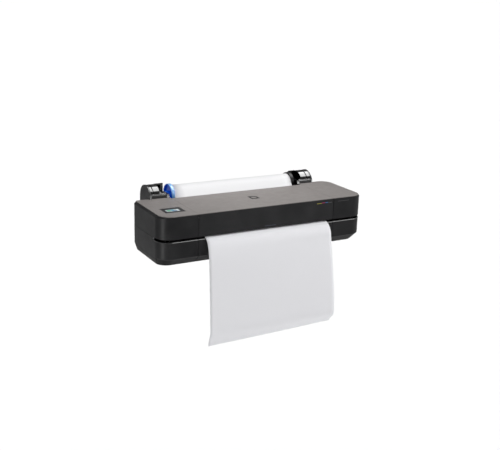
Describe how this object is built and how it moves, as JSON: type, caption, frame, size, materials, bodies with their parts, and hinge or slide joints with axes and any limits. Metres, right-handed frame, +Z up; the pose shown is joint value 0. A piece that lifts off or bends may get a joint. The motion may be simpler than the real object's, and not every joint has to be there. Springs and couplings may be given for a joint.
{
  "type": "large format plotter",
  "caption": "Desktop inkjet plotter for 24 inch rolls, with a rear roll on a spindle, a hinged lid and a printed sheet hanging from the front slot.",
  "frame": {"origin": "centre of the four stand screw holes, on the underside of the lower housing", "axes": "+X to the right along the width, +Z up, front faces -Y; the stand screws come up along +Z from below"},
  "size_m": [1.016, 0.5205, 0.6173],
  "materials": {
    "black_housing": "fine matte texture",
    "black_fascia": "satin moulded",
    "taupe_panel": "satin, warm grey",
    "bezel_black": "gloss",
    "screen": "lit display under glass",
    "badge": "satin",
    "holder_black": "satin",
    "hood_gloss": "high gloss",
    "blue_plastic": "gloss",
    "spindle_black": "satin",
    "paper_white": "matte bond paper",
    "cardboard": "plain",
    "steel": "zinc plated sheet",
    "ground_steel": "ground",
    "inner_black": "matte",
    "dark_grey": "satin",
    "button_grey": "satin",
    "belt_rubber": "matte",
    "roller_rubber": "matte",
    "foot_rubber": "matte",
    "clear_strip": "clear film",
    "aluminium": "extruded",
    "motor_grey": "satin",
    "cartridge": "gloss, coloured fronts",
    "board_green": "solder mask"
  },
  "bodies": {
    "root": {"base_tray": "black_housing", "lower_front_panel": "black_fascia", "left_cap": "black_housing", "right_cap": "black_housing", "left_top_panel": "taupe_panel", "right_top_panel": "taupe_panel", "lid_pins": "ground_steel", "display_bezel": "bezel_black", "display_glass": "screen", "ink_door_pins": "ground_steel", "rear_wall": "inner_black", "rear_housing": "black_housing", "connector_panel": "dark_grey", "left_holder": "holder_black", "right_holder": "holder_black", "left_hood": "hood_gloss", "right_hood": "hood_gloss", "paper_web": "paper_white", "output_sheet": "paper_white", "chassis_plate": "steel", "left_side_plate": "steel", "right_side_plate": "steel", "guide_rod": "ground_steel", "rear_rail": "steel", "encoder_strip": "clear_strip", "scan_belt": "belt_rubber", "scan_motor": "motor_grey", "platen": "inner_black", "exit_tray": "inner_black", "feed_belt": "belt_rubber", "feed_motor": "motor_grey", "cutter_rail": "aluminium", "service_station": "inner_black", "ink_bay": "dark_grey", "ink_cartridges": "cartridge", "main_board": "board_green", "power_supply": "steel", "feet": "foot_rubber", "frame_screws": "ground_steel"},
    "lid": {"lid_shell": "black_fascia", "lid_panel": "taupe_panel", "lid_badge": "badge"},
    "ink_door": {"ink_door": "black_housing"},
    "button": {"power_button": "button_grey"},
    "roll": {"spindle": "spindle_black", "blue_stop": "blue_plastic", "black_stop": "bezel_black", "roll_core": "cardboard", "paper_roll": "paper_white"},
    "carriage": {"carriage": "dark_grey", "printhead": "inner_black"},
    "drive_pulley": {"drive_pulley": "aluminium"},
    "idler_pulley": {"idler_pulley": "dark_grey"},
    "feed_roller": {"feed_roller": "roller_rubber"},
    "feed_pulley": {"feed_pulley": "aluminium"},
    "pinch_rollers": {"pinch_rollers": "roller_rubber"},
    "eject_roller": {"eject_roller": "roller_rubber"},
    "cutter": {"cutter_slider": "dark_grey"},
    "cutter_wheel": {"cutter_wheel": "ground_steel"},
    "cap_sled": {"cap_sled": "dark_grey"}
  },
  "joints": [
    {"name": "lid_hinge", "type": "hinge", "parent": "root", "child": "lid", "pos_m": [0, 0.104, 0.206], "axis": [-1, 0, 0], "range_deg": [0, 62]},
    {"name": "ink_door_hinge", "type": "hinge", "parent": "root", "child": "ink_door", "pos_m": [0.42, -0.158, 0.126], "axis": [1, 0, 0], "range_deg": [0, 80]},
    {"name": "power_press", "type": "slide", "parent": "root", "child": "button", "axis": [0, -1, 0], "range_m": [0, 0.002], "stiffness_N_per_m": 400},
    {"name": "roll_spin", "type": "hinge", "parent": "root", "child": "roll", "pos_m": [0, 0.194, 0.216], "axis": [1, 0, 0], "continuous": true},
    {"name": "feed_spin", "type": "hinge", "parent": "root", "child": "feed_roller", "pos_m": [0, 0.04, 0.1049], "axis": [1, 0, 0], "continuous": true},
    {"name": "feed_pulley_spin", "type": "hinge", "parent": "root", "child": "feed_pulley", "pos_m": [-0.478, -0.03, 0.05], "axis": [1, 0, 0], "continuous": true},
    {"name": "pinch_spin", "type": "hinge", "parent": "root", "child": "pinch_rollers", "pos_m": [0, 0.04, 0.1211], "axis": [1, 0, 0], "continuous": true},
    {"name": "eject_spin", "type": "hinge", "parent": "root", "child": "eject_roller", "pos_m": [0, -0.072, 0.1089], "axis": [1, 0, 0], "continuous": true},
    {"name": "carriage_slide", "type": "slide", "parent": "root", "child": "carriage", "axis": [1, 0, 0], "range_m": [-0.79, 0]},
    {"name": "drive_pulley_spin", "type": "hinge", "parent": "root", "child": "drive_pulley", "pos_m": [-0.446, 0.087, 0.178], "axis": [0, 1, 0], "continuous": true},
    {"name": "idler_pulley_spin", "type": "hinge", "parent": "root", "child": "idler_pulley", "pos_m": [0.446, 0.087, 0.178], "axis": [0, 1, 0], "continuous": true},
    {"name": "cutter_slide", "type": "slide", "parent": "root", "child": "cutter", "axis": [1, 0, 0], "range_m": [-0.648, 0]},
    {"name": "cutter_wheel_spin", "type": "hinge", "parent": "cutter", "child": "cutter_wheel", "pos_m": [0.324, -0.105, 0.123], "axis": [0, 1, 0], "continuous": true},
    {"name": "cap_lift", "type": "slide", "parent": "root", "child": "cap_sled", "axis": [0, 0, 1], "range_m": [-0.012, 0]}
  ],
  "couplings": [
    {"joint": "feed_spin", "follows": "roll_spin", "ratio": 4.3},
    {"joint": "feed_pulley_spin", "follows": "roll_spin", "ratio": 15.91},
    {"joint": "pinch_spin", "follows": "roll_spin", "ratio": -8.6},
    {"joint": "eject_spin", "follows": "roll_spin", "ratio": 7.1667},
    {"joint": "drive_pulley_spin", "follows": "carriage_slide", "rad_per_m": -79.365},
    {"joint": "idler_pulley_spin", "follows": "carriage_slide", "rad_per_m": -79.365},
    {"joint": "cutter_wheel_spin", "follows": "cutter_slide", "rad_per_m": 147.06}
  ]
}
